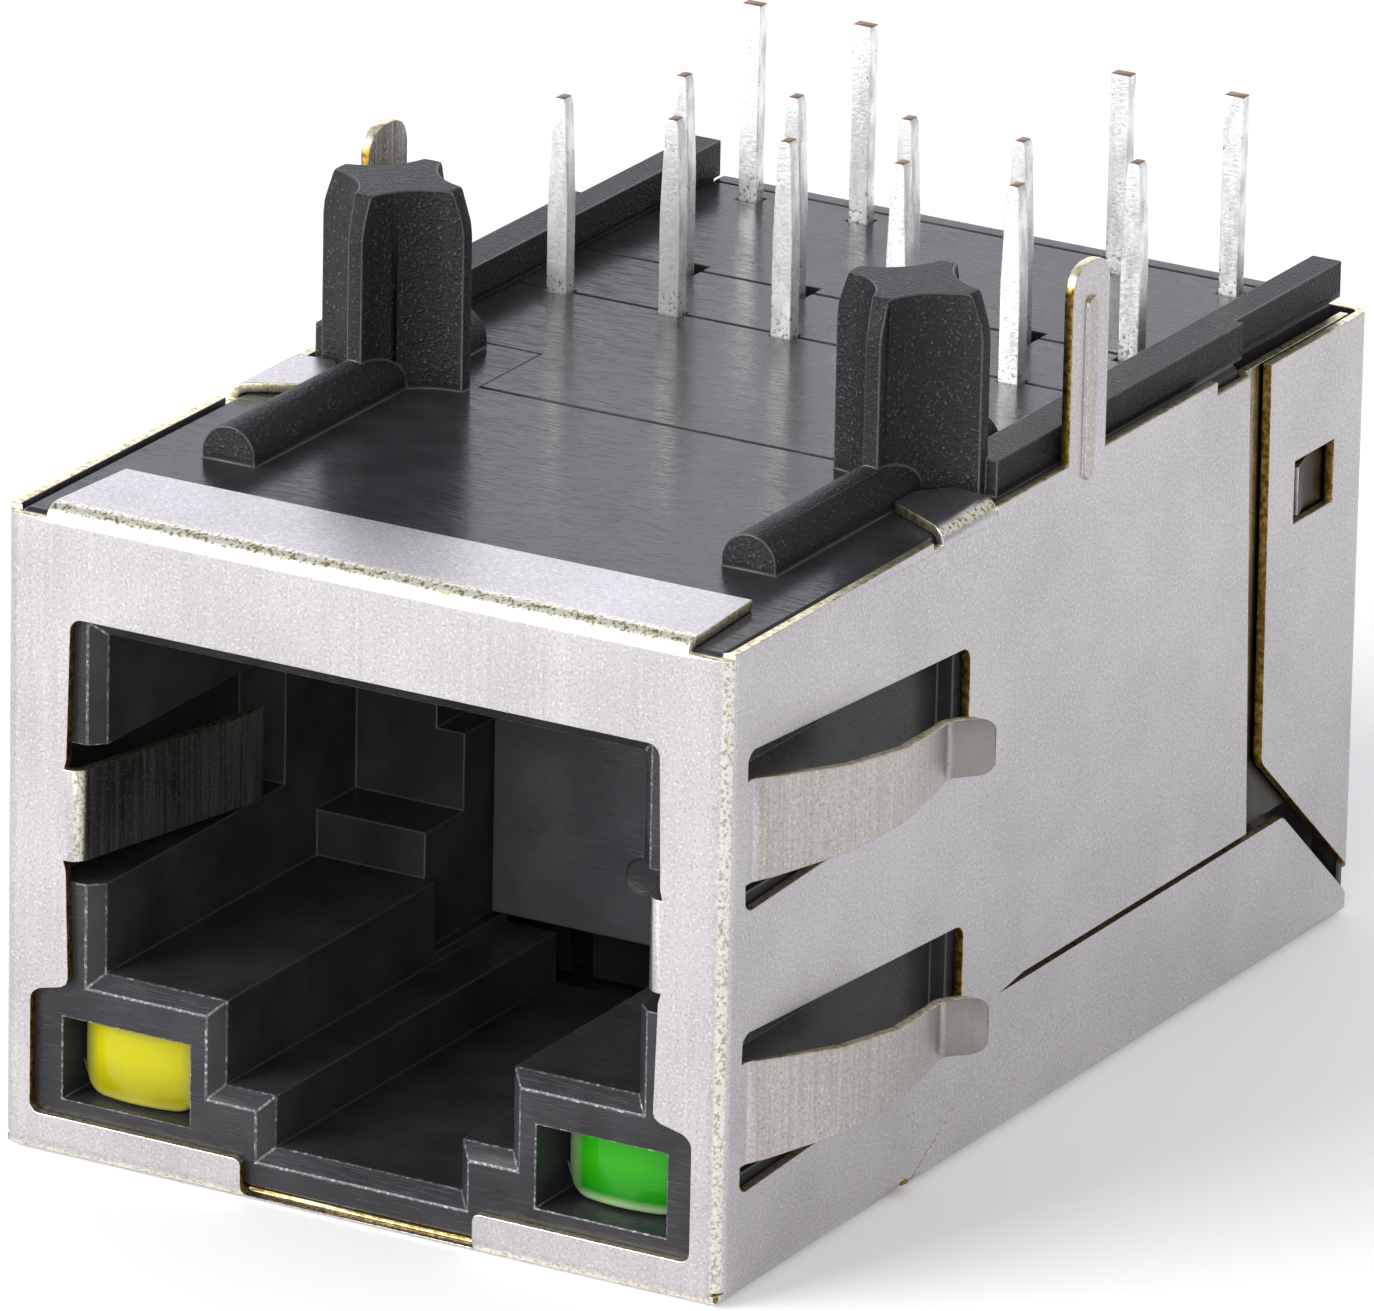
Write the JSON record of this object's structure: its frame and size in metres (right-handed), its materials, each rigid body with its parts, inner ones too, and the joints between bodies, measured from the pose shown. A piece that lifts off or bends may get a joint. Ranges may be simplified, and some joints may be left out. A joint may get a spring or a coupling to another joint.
{
  "type": "rj45 board jack",
  "caption": "Shielded network cable socket for a circuit board, lying on its roof with its solder pins up, with spring contacts, indicator lamps, side springs and locating pegs",
  "frame": {"origin": "middle of the box, on the outer face of the roof that the loose jack lies on", "axes": "+Z points at the circuit board, +Y from the plug's mouth to the rear panel, +X across the contacts"},
  "size_m": [0.019, 0.0254, 0.0171],
  "materials": {
    "shield_sheet": "satin nickel plating over brass sheet, bare brass on the cut edges",
    "housing_plastic": "smooth moulded black nylon",
    "tray_plastic": "smooth moulded black nylon",
    "contact_metal": "gold plating over bronze",
    "pin_metal": "bright tin plating",
    "yellow_resin": "tinted clear resin",
    "green_resin": "tinted clear resin",
    "board_laminate": "glass fibre laminate",
    "wound_core": "ferrite ring wound with enamelled wire"
  },
  "bodies": {
    "root": {"shield": "shield_sheet", "housing": "housing_plastic", "contact_carrier": "tray_plastic", "magnetics_tray": "tray_plastic", "inner_board": "board_laminate", "front_pin_clamp": "tray_plastic", "middle_pin_clamp": "tray_plastic", "rear_pin_clamp": "tray_plastic", "yellow_lamp": "yellow_resin", "green_lamp": "green_resin", "contact_1": "contact_metal", "contact_2": "contact_metal", "contact_3": "contact_metal", "contact_4": "contact_metal", "contact_5": "contact_metal", "contact_6": "contact_metal", "contact_7": "contact_metal", "contact_8": "contact_metal", "signal_pin_1": "pin_metal", "signal_pin_2": "pin_metal", "signal_pin_3": "pin_metal", "signal_pin_4": "pin_metal", "signal_pin_5": "pin_metal", "signal_pin_6": "pin_metal", "signal_pin_7": "pin_metal", "signal_pin_8": "pin_metal", "signal_pin_9": "pin_metal", "signal_pin_10": "pin_metal", "lamp_lead_1": "pin_metal", "lamp_lead_2": "pin_metal", "lamp_lead_3": "pin_metal", "lamp_lead_4": "pin_metal", "transformer_1": "wound_core", "transformer_2": "wound_core", "transformer_3": "wound_core", "transformer_4": "wound_core"}
  },
  "joints": []
}
